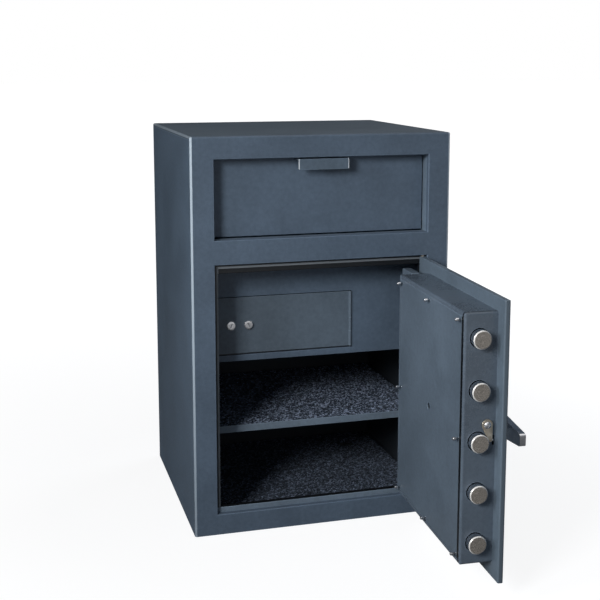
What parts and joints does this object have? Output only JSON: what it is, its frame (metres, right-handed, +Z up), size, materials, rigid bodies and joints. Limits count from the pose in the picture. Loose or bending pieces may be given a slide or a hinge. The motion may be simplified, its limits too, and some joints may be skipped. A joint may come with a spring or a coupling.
{
  "type": "deposit safe",
  "caption": "Upright deposit safe with a tilt-out hopper, a thick hinged door with round locking bolts and a lever handle, a carpeted shelf and an inner locker door.",
  "frame": {"origin": "centre of the body's underside, on the floor", "axes": "+Z up, +X to the right as seen from the front, the front faces -Y"},
  "size_m": [0.508, 0.8647, 0.762],
  "materials": {
    "body_paint": "fine textured semi-gloss grey-blue paint",
    "door_paint": "fine textured semi-gloss grey-blue paint",
    "chrome": "polished plating",
    "raw_steel": "machined steel",
    "brass": "cast bronze, satin",
    "carpet": "heather grey needle-felt carpet",
    "dial_enamel": "gloss black enamel"
  },
  "bodies": {
    "cabinet": {"front_frame": "body_paint", "side_panel_left": "body_paint", "side_panel_right": "body_paint", "top_panel": "body_paint", "floor_panel": "body_paint", "back_panel": "body_paint", "hopper_surround": "body_paint", "door_jamb": "body_paint", "divider_plate": "body_paint", "fishing_baffle": "body_paint", "locker_front": "body_paint", "locker_floor": "body_paint", "locker_back": "body_paint", "locker_roof": "body_paint", "locker_hinge_knuckle": "door_paint", "locker_hinge_pin": "chrome", "shelf": "body_paint", "shelf_brackets": "body_paint", "shelf_carpet": "carpet", "floor_carpet": "carpet", "hinge_pins": "raw_steel", "hinge_washer": "brass", "hopper_brackets": "body_paint", "hopper_bushes": "brass"},
    "hopper": {"hopper_door": "door_paint", "hopper_pull": "door_paint", "hopper_tray": "body_paint", "hopper_side_left": "body_paint", "hopper_side_right": "body_paint", "hopper_shaft": "raw_steel"},
    "main_door": {"door_plate": "door_paint", "door_pan": "door_paint", "door_cover": "door_paint", "cover_screws": "chrome", "dead_bar": "door_paint", "hard_plate": "raw_steel", "lock_case": "raw_steel", "lock_cover": "brass", "dial_ring": "chrome", "handle_rose": "chrome", "guide_studs": "raw_steel", "detent_screw": "chrome"},
    "bolt_work": {"bolt_carriage": "raw_steel", "locking_bolt_1": "chrome", "locking_bolt_2": "chrome", "locking_bolt_3": "chrome", "locking_bolt_4": "chrome", "locking_bolt_5": "chrome"},
    "handle": {"lever_handle": "chrome", "handle_spindle": "raw_steel"},
    "dial": {"combination_dial": "dial_enamel", "dial_spindle": "raw_steel", "lock_wheels": "brass"},
    "lock_bolt": {"lock_bolt": "brass"},
    "detent": {"detent_lever": "brass"},
    "inner_door": {"locker_door": "door_paint", "locker_lock_case": "raw_steel"},
    "inner_bolt": {"locker_bolt": "brass"},
    "guard_key_nose": {"guard_nose": "chrome"},
    "renter_key_nose": {"renter_nose": "chrome"}
  },
  "joints": [
    {"name": "main_door_hinge", "type": "hinge", "parent": "cabinet", "child": "main_door", "pos_m": [0.202, -0.225, 0.2815], "axis": [0, 0, 1], "range_deg": [-87.5, 22.5]},
    {"name": "handle_turn", "type": "hinge", "parent": "main_door", "child": "handle", "pos_m": [0.19092, -0.47876, 0.267], "axis": [-0.999, 0.0436, 0], "range_deg": [0, 50]},
    {"name": "bolt_slide", "type": "slide", "parent": "main_door", "child": "bolt_work", "axis": [-0.0436, -0.999, 0], "range_m": [0, 0.02]},
    {"name": "lock_bolt_slide", "type": "slide", "parent": "main_door", "child": "lock_bolt", "axis": [-0.0436, -0.999, 0], "range_m": [0, 0.01]},
    {"name": "dial_turn", "type": "hinge", "parent": "main_door", "child": "dial", "pos_m": [0.19319, -0.42681, 0.314], "axis": [-0.999, 0.0436, 0], "continuous": true},
    {"name": "detent_turn", "type": "hinge", "parent": "main_door", "child": "detent", "pos_m": [0.16414, -0.61072, 0.3095], "axis": [-0.0436, -0.999, 0], "range_deg": [0, 12]},
    {"name": "hopper_tilt", "type": "hinge", "parent": "cabinet", "child": "hopper", "pos_m": [0, -0.19, 0.582], "axis": [1, 0, 0], "range_deg": [0, 50]},
    {"name": "inner_door_hinge", "type": "hinge", "parent": "cabinet", "child": "inner_door", "pos_m": [0.0803, -0.148, 0.387], "axis": [0, 0, 1], "range_deg": [0, 95]},
    {"name": "guard_key_turn", "type": "hinge", "parent": "inner_door", "child": "guard_key_nose", "pos_m": [-0.1635, -0.144, 0.3885], "axis": [0, 1, 0], "range_deg": [0, 90]},
    {"name": "renter_key_turn", "type": "hinge", "parent": "inner_door", "child": "renter_key_nose", "pos_m": [-0.129, -0.144, 0.3885], "axis": [0, 1, 0], "range_deg": [0, 90]},
    {"name": "inner_bolt_slide", "type": "slide", "parent": "inner_door", "child": "inner_bolt", "axis": [-1, 0, 0], "range_m": [0, 0.01]}
  ],
  "couplings": [
    {"joint": "bolt_slide", "follows": "handle_turn", "m_per_rad": 0.022918},
    {"joint": "lock_bolt_slide", "follows": "handle_turn", "m_per_rad": 0.011459},
    {"joint": "inner_bolt_slide", "follows": "renter_key_turn", "m_per_rad": 0.0063662}
  ]
}
